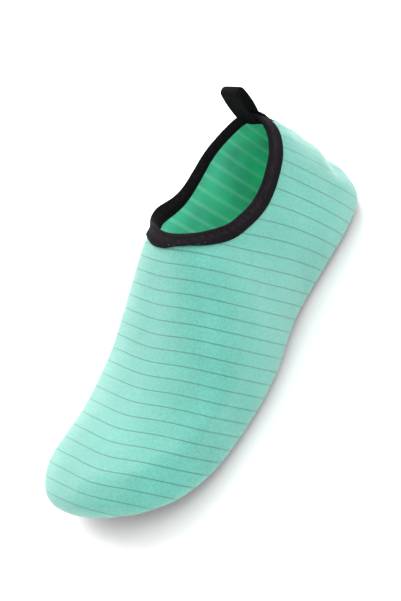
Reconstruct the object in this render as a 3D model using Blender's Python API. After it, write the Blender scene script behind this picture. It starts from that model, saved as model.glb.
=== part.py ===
"""Left water shoe: knitted upper, thin rubber outsole, insole, collar binding and heel pull tape.

Toe toward +X, the outer side of the foot toward +Y, the ground at Z = 0. Metres.
Lengths along the shoe are first measured from the back of the heel; the whole shoe is moved at the
end so that the middle of its box stands on the origin.
"""
import math

import bmesh
import bpy
import numpy as np
from mathutils import Vector
from mathutils.bvhtree import BVHTree

# driving sizes in metres
LENGTH = 0.250
BALL_WIDTH = 0.0940
HEEL_WIDTH = 0.0690
COLLAR_BACK_HEIGHT = 0.0780
COLLAR_LOW_HEIGHT = 0.0652
COLLAR_FRONT_HEIGHT = 0.0847
TOE_BOX_HEIGHT = 0.0400
COLLAR_BACK_SET = 0.0236
COLLAR_LENGTH = 0.0921
COLLAR_WIDTH = 0.0540
TOE_RIDGE_SET = 0.0180
TOE_SPRING = 0.0170
WAIST_HEIGHT = 0.0160
ARCH_LIFT = 0.0015
HEEL_LIFT = 0.0015
KNIT_THICKNESS = 0.0012
LASTING_MARGIN = 0.0080
PLATE_THICKNESS = 0.0025
LUG_HEIGHT = 0.0015
LUG_ROOT = 0.0005
SOLE_INSET = 0.0045
SOLE_BEVEL = 0.0032
SOLE_RIM = 0.0008
ARCH_INSET = 0.0080
INSOLE_THICKNESS = 0.0030
INSOLE_INSET = 0.0012
INSOLE_ROUND = 0.0008
BINDING_WIDTH = 0.0062
BINDING_THICKNESS = 0.0005
TAPE_WIDTH = 0.0125
TAPE_THICKNESS = 0.0010
LOOP_HEIGHT = 0.0190
LOOP_LEAN = 0.0002
LOOP_FOLD = 0.0056
LOOP_INSIDE_REACH = 0.0110
GAP = 0.0003
BINDING_GAP = 0.0004

# tread sizes
BAND_PITCH = 0.0120
BAND_GROOVE = 0.0016
TOOTH_PITCH = 0.0088
TOOTH_SLANT = 0.0017
TOOTH_GROOVE = 0.0015
BAND_LEAN = -0.12
TREAD_MARGIN = 0.0045
RING_WIDTH = 0.0020
RING_GROOVE = 0.0012
TOE_LINE_WIDTH = 0.0012
TOE_LINE_ROOM = 0.0025
RING_SIZE = 0.0183

# counts along and across the surfaces
COLUMNS = 46
COLLAR_COLUMNS = 22
COLLAR_TURN_WEIGHT = 1.0
SIDE_ROWS = 8
UNDER_ROWS = 3
UNDER_FULLNESS = 0.8

# shape of the arch over the foot, a row per section.
# share of length, powers of the width and of the height on the outer side, then on the inner side
POWERS = (
    (0.00, 2.35, 1.40, 2.35, 1.50),
    (0.20, 2.35, 1.65, 2.30, 1.60),
    (0.35, 2.35, 2.05, 2.20, 1.65),
    (0.48, 2.25, 2.05, 1.80, 1.75),
    (0.62, 2.20, 2.00, 1.75, 1.70),
    (0.80, 2.25, 2.05, 1.95, 1.90),
    (1.00, 2.35, 2.10, 2.30, 2.10),
)

# plan of the upper at its widest line, a row per section.
# share of length, outer half and inner half as shares of the local width
PLAN = (
    (0.000, 0.000, 0.000),
    (0.024, 0.300, 0.293),
    (0.080, 0.480, 0.450),
    (0.200, 0.532, 0.482),
    (0.360, 0.531, 0.487),
    (0.520, 0.543, 0.466),
    (0.660, 0.530, 0.475),
    (0.780, 0.523, 0.483),
    (0.880, 0.472, 0.490),
    (0.952, 0.328, 0.395),
    (0.988, 0.135, 0.262),
    (1.000, -0.062, 0.062),
)
PLAN_STATION, PLAN_OUTER, PLAN_INNER = range(3)

# step in from the widest line to the edge of the sole.
# share of length, outer side as a share of SOLE_INSET, inner side the same, inner side arch share
INSET = (
    (0.000, 0.67, 0.67, 0.00),
    (0.080, 0.95, 0.75, 0.00),
    (0.200, 0.95, 0.80, 0.05),
    (0.360, 0.75, 1.00, 0.62),
    (0.520, 1.00, 1.00, 0.75),
    (0.660, 1.20, 1.00, 0.22),
    (0.780, 1.30, 0.75, 0.00),
    (0.880, 1.35, 0.78, 0.00),
    (0.952, 1.05, 0.90, 0.00),
    (1.000, 0.33, 0.33, 0.00),
)
INSET_STATION, INSET_OUTER, INSET_INNER, INSET_ARCH = range(4)

# height of the widest line above the underside of the sole, share of length and share of WAIST_HEIGHT
WAIST = (
    (0.00, 1.06),
    (0.20, 1.00),
    (0.50, 0.94),
    (0.75, 0.78),
    (0.90, 0.62),
    (1.00, 0.50),
)

# collar edge from back to front.
# share of collar length, half widths as shares of COLLAR_WIDTH, rise toward the back and the front,
# and how far round the arch the wall has turned at the edge (degrees), outer side and inner side
COLLAR = (
    (0.00, 0.000, 0.000, 1.00, 0.000, 28.0, 28.0),
    (0.10, 0.290, 0.312, 0.62, 0.000, 27.0, 25.0),
    (0.25, 0.412, 0.452, 0.29, 0.000, 32.0, 25.0),
    (0.50, 0.477, 0.503, 0.00, 0.000, 39.0, 25.0),
    (0.75, 0.487, 0.468, 0.00, 0.270, 45.0, 28.0),
    (0.90, 0.368, 0.288, 0.00, 0.650, 62.0, 42.0),
    (1.00, 0.000, 0.000, 0.00, 1.000, 90.0, 90.0),
)
(COLLAR_STATION, COLLAR_OUTER, COLLAR_INNER, COLLAR_BACK_RISE, COLLAR_FRONT_RISE,
 COLLAR_TURN_OUTER, COLLAR_TURN_INNER) = range(7)

# top line of the foot from the front of the collar to the toe.
# share of that length, share of the fall from the instep to the toe box
RIDGE = (
    (0.000, 1.000),
    (0.090, 0.830),
    (0.180, 0.650),
    (0.390, 0.290),
    (0.600, 0.085),
    (0.810, 0.000),
    (1.000, -0.080),
)

# raised rings of the tread.
# shares of length and ball width for the centre, then the half axes as shares of RING_SIZE, and corners
RINGS = (
    (0.176, -0.078, 1.000, 0.765, 20),
    (0.304, -0.170, 0.492, 0.383, 12),
    (0.388, -0.104, 0.426, 0.350, 12),
    (0.341, 0.109, 0.464, 0.393, 12),
    (0.451, 0.130, 0.470, 0.410, 12),
    (0.566, 0.074, 0.557, 0.481, 12),
    (0.694, -0.067, 0.645, 0.536, 14),
    (0.828, -0.260, 0.852, 0.754, 18),
    (0.800, 0.130, 0.525, 0.525, 12),
)

# curved line that closes the tread at the toe, shares of length and of ball width
TOE_LINE = (
    (0.926, -0.405),
    (0.930, -0.280),
    (0.924, -0.130),
    (0.908, 0.050),
    (0.885, 0.220),
    (0.862, 0.365),
)


def column(table, index):
    """One named column of a table."""
    return np.array([row[index] for row in table], float)


def smooth_curve(stations, values, at):
    """Values between stations without overshoot: a monotone cubic."""
    stations = np.asarray(stations, float)
    values = np.asarray(values, float)
    step = np.diff(stations)
    slope = np.diff(values) / step
    tangent = np.zeros(len(values))
    tangent[0] = slope[0]
    tangent[-1] = slope[-1]
    for i in range(1, len(values) - 1):
        if slope[i - 1] * slope[i] > 0:
            a = 2 * step[i] + step[i - 1]
            b = step[i] + 2 * step[i - 1]
            tangent[i] = (a + b) / (a / slope[i - 1] + b / slope[i])
    at = np.clip(np.asarray(at, float), stations[0], stations[-1])
    i = np.clip(np.searchsorted(stations, at, side="right") - 1, 0, len(step) - 1)
    t = (at - stations[i]) / step[i]
    return (values[i] * (2 * t ** 3 - 3 * t ** 2 + 1)
            + step[i] * tangent[i] * (t ** 3 - 2 * t ** 2 + t)
            + values[i + 1] * (3 * t ** 2 - 2 * t ** 3)
            + step[i] * tangent[i + 1] * (t ** 3 - t ** 2))


def end_angle(share):
    """Angle that opens fast at both ends, so that curves read over it have round ends."""
    return np.arccos(np.clip(1 - 2 * np.asarray(share, float), -1, 1))


def round_curve(table, index, share):
    """A column of a table whose first column is a share, with round ends."""
    return smooth_curve(end_angle(column(table, 0)), column(table, index), end_angle(share))


def plain_curve(table, index, share):
    """A column of a table whose first column is a share."""
    return smooth_curve(column(table, 0), column(table, index), share)


def local_width(share):
    """Width that the plan's shares refer to: the heel's at the back, the ball's at the front."""
    t = np.clip((np.asarray(share, float) - 0.30) / 0.36, 0, 1)
    return HEEL_WIDTH + (BALL_WIDTH - HEEL_WIDTH) * t * t * (3 - 2 * t)


def sole_lift(x):
    """Height of the underside of the sole above the ground at a length from the heel."""
    share = np.asarray(x, float) / LENGTH
    heel = HEEL_LIFT * np.clip((0.06 - share) / 0.06, 0, 2) ** 2
    arch_place = np.clip((share - 0.30) / 0.26, 0, 1)
    arch = ARCH_LIFT * np.sin(math.pi * arch_place) ** 2
    toe = TOE_SPRING * np.clip((share - 0.68) / 0.32, 0, 1.1) ** 2
    return heel + arch + toe


def waist_height(x):
    """Height of the widest line of the upper."""
    return sole_lift(x) + WAIST_HEIGHT * plain_curve(WAIST, 1, np.asarray(x, float) / LENGTH)


def plan_side(share, side):
    """Y of the widest line; side is +1 for the outer side and -1 for the inner one."""
    index = PLAN_OUTER if side > 0 else PLAN_INNER
    return side * round_curve(PLAN, index, share) * local_width(share)


def even_shares(side, count):
    """Shares of length that cut one side of the plan into equal arcs, heel to toe."""
    angle = np.linspace(0, math.pi, 1201)
    share = (1 - np.cos(angle)) / 2
    x = share * LENGTH
    y = plan_side(share, side)
    arc = np.concatenate([[0], np.cumsum(np.hypot(np.diff(x), np.diff(y)))])
    return np.interp(np.linspace(0, arc[-1], count + 1), arc, share)


def perimeter(columns=COLUMNS):
    """Points and inward normals of the widest line: heel, outer side, toe, inner side."""
    outer = even_shares(1, columns)
    inner = even_shares(-1, columns)
    share = np.concatenate([outer, inner[-2:0:-1]])
    y = np.concatenate([plan_side(outer, 1), plan_side(inner, -1)[-2:0:-1]])
    side = np.array([1] * (columns + 1) + [-1] * (columns - 1))
    point = np.stack([share * LENGTH, y], 1)
    along = np.roll(point, -1, 0) - np.roll(point, 1, 0)
    along /= np.linalg.norm(along, axis=1)[:, None]
    inward = np.stack([along[:, 1], -along[:, 0]], 1)
    return point, inward, share, side


def sole_step(share, side):
    """How far the edge of the sole lies inside the widest line of the upper."""
    outer = SOLE_INSET * plain_curve(INSET, INSET_OUTER, share)
    inner = (SOLE_INSET * plain_curve(INSET, INSET_INNER, share)
             + ARCH_INSET * plain_curve(INSET, INSET_ARCH, share))
    return np.where(side > 0, outer, inner)


def sole_outline(extra=0.0):
    """Edge of the sole in plan, moved inward by extra."""
    point, inward, share, side = perimeter()
    step = sole_step(share, side) + extra
    return point + inward * step[:, None]


def raised(ring, height):
    """Points of a plan ring at a height above the underside of the sole."""
    return [(x, y, float(sole_lift(x)) + height) for x, y in ring]


def new_object(name, vertices, faces):
    """A mesh object of welded vertices with outward faces."""
    mesh = bpy.data.meshes.new(name)
    mesh.from_pydata([tuple(v) for v in vertices], [], faces)
    body = bmesh.new()
    body.from_mesh(mesh)
    bmesh.ops.remove_doubles(body, verts=body.verts, dist=0.00001)
    bmesh.ops.dissolve_degenerate(body, edges=body.edges, dist=0.00001)
    bmesh.ops.recalc_face_normals(body, faces=body.faces)
    body.to_mesh(mesh)
    body.free()
    thing = bpy.data.objects.new(name, mesh)
    bpy.context.scene.collection.objects.link(thing)
    return thing


def layered_plate(name, rings):
    """A closed plate whose rings lie above each other; both caps run from side to side."""
    count = len(rings[0])
    half = count // 2
    vertices = [v for ring in rings for v in ring]
    faces = []
    for level in range(len(rings) - 1):
        low = level * count
        high = low + count
        for k in range(count):
            n = (k + 1) % count
            faces.append((low + k, low + n, high + n, high + k))
    for base in (0, (len(rings) - 1) * count):
        faces.append((base, base + 1, base + count - 1))
        for k in range(1, half - 1):
            faces.append((base + k, base + k + 1, base + count - k - 1, base + count - k))
        faces.append((base + half - 1, base + half, base + half + 1))
    return new_object(name, vertices, faces)


def prism(corners, height_low, height_high):
    """Vertices and faces of a prism that stands on the curved underside of the sole."""
    count = len(corners)
    vertices = raised(corners, height_low) + raised(corners, height_high)
    faces = [tuple(range(count))[::-1], tuple(range(count, 2 * count))]
    for k in range(count):
        n = (k + 1) % count
        faces.append((k, n, count + n, count + k))
    return vertices, faces


def joined(name, pieces):
    """One object from several closed pieces that don't touch."""
    vertices = []
    faces = []
    for points, loops in pieces:
        base = len(vertices)
        vertices += points
        faces += [tuple(base + i for i in loop) for loop in loops]
    thing = new_object(name, vertices, faces)
    body = bmesh.new()
    body.from_mesh(thing.data)
    bmesh.ops.triangulate(body, faces=body.faces)
    body.to_mesh(thing.data)
    body.free()
    return thing


def combine(target, other, operation):
    """Boolean of two objects; the second one is used up."""
    modifier = target.modifiers.new(operation.lower(), "BOOLEAN")
    modifier.operation = operation
    modifier.solver = "EXACT"
    modifier.object = other
    settle(target)
    mesh = other.data
    bpy.data.objects.remove(other)
    bpy.data.meshes.remove(mesh)


def settle(thing):
    """Write the modifiers of an object into its mesh."""
    bpy.context.view_layer.update()
    graph = bpy.context.evaluated_depsgraph_get()
    mesh = bpy.data.meshes.new_from_object(thing.evaluated_get(graph))
    old = thing.data
    thing.modifiers.clear()
    thing.data = mesh
    mesh.name = thing.name
    bpy.data.meshes.remove(old)


def ellipse(centre_x, centre_y, half_x, half_y, count):
    """Corners of an ellipse in plan."""
    return [(centre_x + half_x * math.cos(2 * math.pi * k / count),
             centre_y + half_y * math.sin(2 * math.pi * k / count)) for k in range(count)]


def inside_polygon(x, y, polygon):
    """Whether a plan point lies inside a closed outline."""
    inside = False
    count = len(polygon)
    for k in range(count):
        x1, y1 = polygon[k]
        x2, y2 = polygon[(k + 1) % count]
        if (y1 > y) != (y2 > y):
            if x < (x2 - x1) * (y - y1) / (y2 - y1) + x1:
                inside = not inside
    return inside


def band_teeth(band, edge, line):
    """Slanted teeth of one band of the tread, alternately wide at the heel and at the toe side."""
    pieces = []
    low = band * BAND_PITCH + BAND_GROOVE / 2
    high = (band + 1) * BAND_PITCH - BAND_GROOVE / 2
    shift = (band % 2) * TOOTH_PITCH / 2
    teeth = int(BALL_WIDTH / TOOTH_PITCH) + 3
    for tooth in range(-teeth, teeth):
        left = tooth * TOOTH_PITCH + TOOTH_GROOVE / 2 + shift
        right = (tooth + 1) * TOOTH_PITCH - TOOTH_GROOVE / 2 + shift
        lean = TOOTH_SLANT / 2 if tooth % 2 else -TOOTH_SLANT / 2
        corners = [(low, left + lean), (high, left - lean), (high, right + lean), (low, right - lean)]
        corners = [(x + BAND_LEAN * y, y) for x, y in corners]
        if not all(inside_polygon(x, y, edge) for x, y in corners):
            continue
        if any(x > np.interp(y, line[:, 1], line[:, 0]) - TOE_LINE_ROOM for x, y in corners):
            continue
        corners = clear_of_rings(corners)
        if corners:
            pieces.append(prism(corners, 0.0, LUG_HEIGHT + LUG_ROOT))
    return pieces


def clear_of_rings(corners):
    """A tooth whose corners are drawn back from the raised rings; None if little of it is left."""
    middle = np.mean(corners, axis=0)
    kept = []
    for corner in corners:
        spot = np.array(corner)
        for share_x, share_y, half_x, half_y, count in RINGS:
            centre = np.array((share_x * LENGTH, share_y * BALL_WIDTH))
            room = np.array((half_x, half_y)) * RING_SIZE + RING_GROOVE
            if np.hypot(*((middle - centre) / room)) < 1.06:
                return None
            pull = 0.0
            while np.hypot(*((spot + (middle - spot) * pull - centre) / room)) < 1:
                pull += 0.02
            spot = spot + (middle - spot) * pull
        kept.append((float(spot[0]), float(spot[1])))
    return kept


def build_outsole():
    """Rubber plate with toe spring, arch, banded teeth, raised rings and the line at the toe."""
    bottom = LUG_HEIGHT
    top = LUG_HEIGHT + PLATE_THICKNESS
    plate = layered_plate("outsole", [
        raised(sole_outline(SOLE_BEVEL), bottom),
        raised(sole_outline(SOLE_RIM), top - SOLE_RIM),
        raised(sole_outline(0.0), top),
    ])
    edge = [tuple(p) for p in sole_outline(TREAD_MARGIN)]
    line = np.array([(x * LENGTH, y * BALL_WIDTH) for x, y in TOE_LINE])
    pieces = [toe_line_rib(line)]
    for band in range(int(LENGTH / BAND_PITCH)):
        pieces += band_teeth(band, edge, line)
    for share_x, share_y, share_long, share_wide, count in RINGS:
        x = share_x * LENGTH
        y = share_y * BALL_WIDTH
        half_x = share_long * RING_SIZE
        half_y = share_wide * RING_SIZE
        pieces.append(ring_wall(x, y, half_x, half_y, count))
        inner = RING_WIDTH + RING_GROOVE
        pieces.append(prism(ellipse(x, y, half_x - inner, half_y - inner, count), LUG_HEIGHT * 0.35,
                            LUG_HEIGHT + LUG_ROOT))
    combine(plate, joined("tread", pieces), "UNION")
    return plate


def ring_wall(x, y, half_x, half_y, count):
    """Vertices and faces of one raised ring."""
    outer = ellipse(x, y, half_x, half_y, count)
    inner = ellipse(x, y, half_x - RING_WIDTH, half_y - RING_WIDTH, count)
    vertices = (raised(outer, 0.0) + raised(inner, 0.0)
                + raised(outer, LUG_HEIGHT + LUG_ROOT) + raised(inner, LUG_HEIGHT + LUG_ROOT))
    faces = []
    for k in range(count):
        n = (k + 1) % count
        faces.append((k, n, count + n, count + k))
        faces.append((2 * count + k, 3 * count + k, 3 * count + n, 2 * count + n))
        faces.append((k, 2 * count + k, 2 * count + n, n))
        faces.append((count + k, count + n, 3 * count + n, 3 * count + k))
    return vertices, faces


def toe_line_rib(line):
    """Thin raised rib along the curved line that closes the tread."""
    share = np.linspace(0, 1, 12)
    station = np.linspace(0, 1, len(line))
    x = smooth_curve(station, line[:, 0], share)
    y = smooth_curve(station, line[:, 1], share)
    front = [(px, py) for px, py in zip(x, y)]
    back = [(px - TOE_LINE_WIDTH, py) for px, py in zip(x, y)]
    vertices = (raised(front, LUG_HEIGHT * 0.3) + raised(back, LUG_HEIGHT * 0.3)
                + raised(front, LUG_HEIGHT + LUG_ROOT) + raised(back, LUG_HEIGHT + LUG_ROOT))
    count = len(front)
    faces = [(0, count, 3 * count, 2 * count), (count - 1, 3 * count - 1, 4 * count - 1, 2 * count - 1)]
    for k in range(count - 1):
        faces.append((k, k + 1, count + k + 1, count + k))
        faces.append((2 * count + k, 3 * count + k, 3 * count + k + 1, 2 * count + k + 1))
        faces.append((k, 2 * count + k, 2 * count + k + 1, k + 1))
        faces.append((count + k, count + k + 1, 3 * count + k + 1, 3 * count + k))
    return vertices, faces


def build_insole():
    """Foam insole on the turned-in margin of the upper."""
    base = LUG_HEIGHT + PLATE_THICKNESS + KNIT_THICKNESS + 2 * GAP
    return layered_plate("insole", [
        raised(sole_outline(INSOLE_INSET), base),
        raised(sole_outline(INSOLE_INSET), base + INSOLE_THICKNESS - INSOLE_ROUND),
        raised(sole_outline(INSOLE_INSET + INSOLE_ROUND), base + INSOLE_THICKNESS),
    ])


def collar_point(share, side):
    """Point of the collar edge, and how far the wall has turned there."""
    x = COLLAR_BACK_SET + share * COLLAR_LENGTH
    index = COLLAR_OUTER if side > 0 else COLLAR_INNER
    y = side * COLLAR_WIDTH * float(round_curve(COLLAR, index, share))
    z = (COLLAR_LOW_HEIGHT
         + (COLLAR_BACK_HEIGHT - COLLAR_LOW_HEIGHT) * float(plain_curve(COLLAR, COLLAR_BACK_RISE, share))
         + (COLLAR_FRONT_HEIGHT - COLLAR_LOW_HEIGHT) * float(plain_curve(COLLAR, COLLAR_FRONT_RISE, share)))
    turn_index = COLLAR_TURN_OUTER if side > 0 else COLLAR_TURN_INNER
    turn = math.radians(float(plain_curve(COLLAR, turn_index, share)))
    return (x, y, z), turn


def ridge_point(share):
    """Point of the top line of the foot between the front of the collar and the toe."""
    start = COLLAR_BACK_SET + COLLAR_LENGTH
    x = start + share * (LENGTH - TOE_RIDGE_SET - start)
    z = TOE_BOX_HEIGHT + (COLLAR_FRONT_HEIGHT - TOE_BOX_HEIGHT) * float(plain_curve(RIDGE, 1, share))
    return (x, 0.0, z), math.pi / 2


def ridge_slope(share):
    """Slope of the top line, full at the toe and fading out toward the collar."""
    low = ridge_point(max(share - 0.02, 0.0))[0]
    high = ridge_point(min(share + 0.02, 1.0))[0]
    return (high[2] - low[2]) / (high[0] - low[0]) * 0.7 * min(share / 0.5, 1.0)


def collar_shares(count):
    """Shares of collar length for the columns: closer together where the collar turns."""
    share = (1 - np.cos(np.linspace(0, math.pi, 241))) / 2
    point = np.array([collar_point(s, 1)[0] for s in share])
    step = np.diff(point, axis=0)
    length = np.linalg.norm(step, axis=1)
    heading = step / length[:, None]
    turn = np.arccos(np.clip((heading[1:] * heading[:-1]).sum(1), -1, 1))
    turn = np.concatenate([[0], turn])
    measure = length / length.sum() + COLLAR_TURN_WEIGHT * turn / turn.sum()
    measure = np.concatenate([[0], np.cumsum(measure)])
    return np.interp(np.linspace(0, measure[-1], count + 1), measure, share)


def lower_points(base, inward, share, side):
    """Lasting margin, edge of the sole and the turn up to the widest line, for one column."""
    step = float(sole_step(share, side))
    edge = LUG_HEIGHT + PLATE_THICKNESS + GAP
    inner = base + inward * (step + LASTING_MARGIN)
    points = [(inner[0], inner[1], float(sole_lift(inner[0])) + edge)]
    waist = float(waist_height(base[0]))
    for row in range(UNDER_ROWS, -1, -1):
        turn = math.pi / 2 * row / UNDER_ROWS
        run = 1 - max(math.cos(turn), 0.0) ** UNDER_FULLNESS
        drop = math.sin(turn) ** UNDER_FULLNESS
        spot = base + inward * step * run
        low = float(sole_lift(spot[0])) + edge
        points.append((spot[0], spot[1], waist - (waist - low) * drop))
    return points


def side_points(base, top, turn_end, slope, rows, side):
    """Arch of one column from the widest line, which is left out, up to its top."""
    waist = float(waist_height(base[0]))
    share = base[0] / LENGTH
    across = 2 / float(plain_curve(POWERS, 1 if side > 0 else 3, share))
    upward = 2 / float(plain_curve(POWERS, 2 if side > 0 else 4, share))
    run_end = 1 - max(math.cos(turn_end), 0.0) ** across
    rise_end = math.sin(turn_end) ** upward
    points = []
    for row in range(1, rows + 1):
        turn = turn_end * row / rows
        run = (1 - max(math.cos(turn), 0.0) ** across) / run_end
        rise = math.sin(turn) ** upward / rise_end
        ahead = (base[0] - top[0]) * (1 - run)
        points.append((top[0] + ahead, base[1] + (top[1] - base[1]) * run,
                       waist + (top[2] - waist) * rise + slope * ahead * rise ** 2))
    return points


def column_top(index, side, columns, collar):
    """Top of a column on the collar edge or on the top line of the foot."""
    last = len(collar) - 1
    if index <= last:
        top, turn_end = collar_point(collar[index], side)
        return top, turn_end, 0.0
    span = (index - last) / (columns - last)
    top, turn_end = ridge_point(span)
    return top, turn_end, ridge_slope(span)


def fine_wall():
    """Search tree of the outer face of the upper, cut much finer than the part itself."""
    times = 4
    columns = COLUMNS * times
    rows = SIDE_ROWS * times
    collar = collar_shares(COLLAR_COLUMNS * times)
    point, inward, share, sides = perimeter(columns)
    vertices = []
    faces = []
    for side in (1, -1):
        start = len(vertices)
        for index in range(columns + 1):
            k = index if side > 0 else (2 * columns - index) % (2 * columns)
            top, turn_end, slope = column_top(index, side, columns, collar)
            line = lower_points(point[k], inward[k], share[k], side)
            line += side_points(point[k], top, turn_end, slope, rows, side)
            vertices += line
        height = len(line)
        for index in range(columns):
            for row in range(height - 1):
                a = start + index * height + row
                loop = (a, a + height, a + height + 1, a + 1)
                faces.append(loop[::-1] if side > 0 else loop)
    return BVHTree.FromPolygons([Vector(v) for v in vertices], faces)


def surface_normal(tree, spot, reach=BINDING_WIDTH / 3):
    """Outward direction of the wall near a point, averaged over its neighbourhood."""
    total = Vector((0.0, 0.0, 0.0))
    for shift in ((0, 0, 0), (reach, 0, 0), (-reach, 0, 0), (0, reach, 0), (0, -reach, 0), (0, 0, -reach)):
        total += tree.find_nearest(spot + Vector(shift))[1]
    return total.normalized()


def walk_down(tree, spot, along, away, distance):
    """Point on the wall at a distance from the collar edge, square to the edge."""
    steps = max(1, round(12 * distance / BINDING_WIDTH))
    for _ in range(steps):
        down = surface_normal(tree, spot).cross(along).normalized()
        if down.dot(away) < 0:
            down = -down
        spot = tree.find_nearest(spot + down * distance / steps)[0]
    return spot


def collar_band(tree, collar):
    """For each column of each side: collar edge, middle of the binding, lower edge of the binding."""
    band = {}
    for side in (1, -1):
        edge = [Vector(collar_point(share, side)[0]) for share in collar]
        mirror = Vector((edge[1].x, -edge[1].y, edge[1].z))
        front = Vector((edge[-2].x, -edge[-2].y, edge[-2].z))
        extended = [mirror] + edge + [front]
        middle = Vector((COLLAR_BACK_SET + COLLAR_LENGTH / 2, 0.0, COLLAR_LOW_HEIGHT + COLLAR_LENGTH / 2))
        for k, spot in enumerate(edge):
            along = (extended[k + 2] - extended[k]).normalized()
            half = walk_down(tree, spot, along, spot - middle, BINDING_WIDTH / 2)
            low = walk_down(tree, half, along, spot - middle, BINDING_WIDTH / 2)
            if k in (0, len(edge) - 1):
                half.y = 0.0
                low.y = 0.0
            band[side, k] = (spot, half, low)
    return band


def upper_lines():
    """Points of every column of the upper, keyed by side, column and row."""
    tree = fine_wall()
    collar = collar_shares(COLLAR_COLUMNS)
    band = collar_band(tree, collar)
    point, inward, share, sides = perimeter()
    ridge_start = (band[1, COLLAR_COLUMNS][2].x - COLLAR_BACK_SET - COLLAR_LENGTH) / (
        LENGTH - TOE_RIDGE_SET - COLLAR_BACK_SET - COLLAR_LENGTH)
    lines = {}
    for side in (1, -1):
        for index in range(COLUMNS + 1):
            k = index if side > 0 else (2 * COLUMNS - index) % (2 * COLUMNS)
            line = [Vector(p) for p in lower_points(point[k], inward[k], share[k], side)]
            if index <= COLLAR_COLUMNS:
                spot, half, low = band[side, index]
                turn_end = collar_point(collar[index], side)[1] * 0.92
                arch = side_points(point[k], low, turn_end, 0.0, SIDE_ROWS, side)
                tail = [low, half, spot]
            else:
                span = (index - COLLAR_COLUMNS) / (COLUMNS - COLLAR_COLUMNS)
                span = ridge_start + (1 - ridge_start) * span
                top, turn_end = ridge_point(span)
                arch = side_points(point[k], top, turn_end, ridge_slope(span), SIDE_ROWS, side)
                tail = [Vector(top)]
            for spot in arch[:-1]:
                found = tree.find_nearest(Vector(spot))[0]
                if index in (0, COLUMNS):
                    found.y = spot[1]
                line.append(found)
            lines[side, index] = line + tail
    return lines


class Wall:
    """Outer points of the upper with the direction and reach of an even offset at each of them."""

    def __init__(self, lines):
        self.full = 1 + UNDER_ROWS + 1 + SIDE_ROWS - 1
        self.number = {}
        self.points = []
        for (side, index), line in lines.items():
            for row, spot in enumerate(line):
                shared = index in (0, COLUMNS) or (index >= COLLAR_COLUMNS and row >= self.full)
                if side < 0 and shared:
                    self.number[side, index, row] = self.number[1, index, row]
                    continue
                self.number[side, index, row] = len(self.points)
                self.points.append(spot.copy())
        self.faces = []
        for side in (1, -1):
            for index in range(COLUMNS):
                height = min(len(lines[side, index]), len(lines[side, index + 1]))
                for row in range(height - 1):
                    loop = [self.number[side, i, r] for i, r in (
                        (index, row), (index + 1, row), (index + 1, row + 1), (index, row + 1))]
                    for cut in ((loop[0], loop[1], loop[2]), (loop[0], loop[2], loop[3])):
                        self.faces.append(cut[::-1] if side > 0 else cut)
        body = bmesh.new()
        made = [body.verts.new(p) for p in self.points]
        for loop in self.faces:
            body.faces.new([made[i] for i in loop])
        body.normal_update()
        self.offset = [v.normal * min(v.calc_shell_factor(), 1.5) for v in made]
        self.rim = []
        for edge in body.edges:
            if len(edge.link_loops) == 1:
                loop = edge.link_loops[0]
                self.rim.append((made.index(loop.vert), made.index(loop.link_loop_next.vert)))
        body.free()

    def at(self, side, index, row, away):
        """Point at a distance outside the wall, or inside it for a distance below zero."""
        i = self.number[side, index, row]
        return self.points[i] + self.offset[i] * away


def build_upper(wall):
    """Knitted upper: one thin wall, open at the collar and under the foot."""
    count = len(wall.points)
    vertices = wall.points + [p - o * KNIT_THICKNESS for p, o in zip(wall.points, wall.offset)]
    faces = list(wall.faces)
    faces += [tuple(count + i for i in loop[::-1]) for loop in wall.faces]
    for a, b in wall.rim:
        # the same diagonals as the binding's top, so the gap stays even
        if wall.points[a].x < wall.points[b].x:
            faces += [(b, a, count + b), (a, count + a, count + b)]
        else:
            faces += [(b, a, count + a), (b, count + a, count + b)]
    return new_object("upper", vertices, faces)


def build_binding(wall):
    """Folded tape round the collar edge, a gap away from the knit on both faces."""
    top = wall.full + 2
    order = [(1, k) for k in range(COLLAR_COLUMNS + 1)]
    order += [(-1, k) for k in range(COLLAR_COLUMNS - 1, 0, -1)]
    near = BINDING_GAP
    far = BINDING_GAP + BINDING_THICKNESS
    back = -(KNIT_THICKNESS + BINDING_GAP)
    back_far = back - BINDING_THICKNESS
    low = BINDING_THICKNESS / 4
    vertices = []
    for side, k in order:
        up = (wall.at(side, k, top, 0) - wall.at(side, k, top - 1, 0)).normalized()
        vertices += [
            wall.at(side, k, top - 2, near), wall.at(side, k, top - 2, far), wall.at(side, k, top - 1, far),
            wall.at(side, k, top, far) - up * low, wall.at(side, k, top, -KNIT_THICKNESS / 2) + up * far,
            wall.at(side, k, top, back_far) - up * low, wall.at(side, k, top - 1, back_far),
            wall.at(side, k, top - 2, back_far), wall.at(side, k, top - 2, back), wall.at(side, k, top - 1, back),
            wall.at(side, k, top, back) + up * near, wall.at(side, k, top, near) + up * near,
            wall.at(side, k, top - 1, near),
        ]
    rings = len(order)
    count = len(vertices) // rings
    faces = []
    for k in range(rings):
        n = (k + 1) % rings
        for i in range(count):
            j = (i + 1) % count
            a, b, c, d = k * count + i, k * count + j, n * count + j, n * count + i
            # the same diagonals as the wall beneath, so the gap stays even
            if (i in (1, 2, 8, 9)) == (k < COLLAR_COLUMNS):
                faces += [(a, b, c), (a, c, d)]
            else:
                faces += [(a, b, d), (b, c, d)]
    return new_object("collar_binding", vertices, faces)


def across_wall(wall, row, across, away):
    """Point outside the heel wall on one row, at a distance from the heel seam."""
    side = 1 if across >= 0 else -1
    spots = [wall.at(side, k, row, away) for k in range(4)]
    away_y = [abs(spot.y) for spot in spots]
    return Vector([float(np.interp(abs(across), away_y, [spot[i] for spot in spots])) for i in range(3)])


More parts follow.
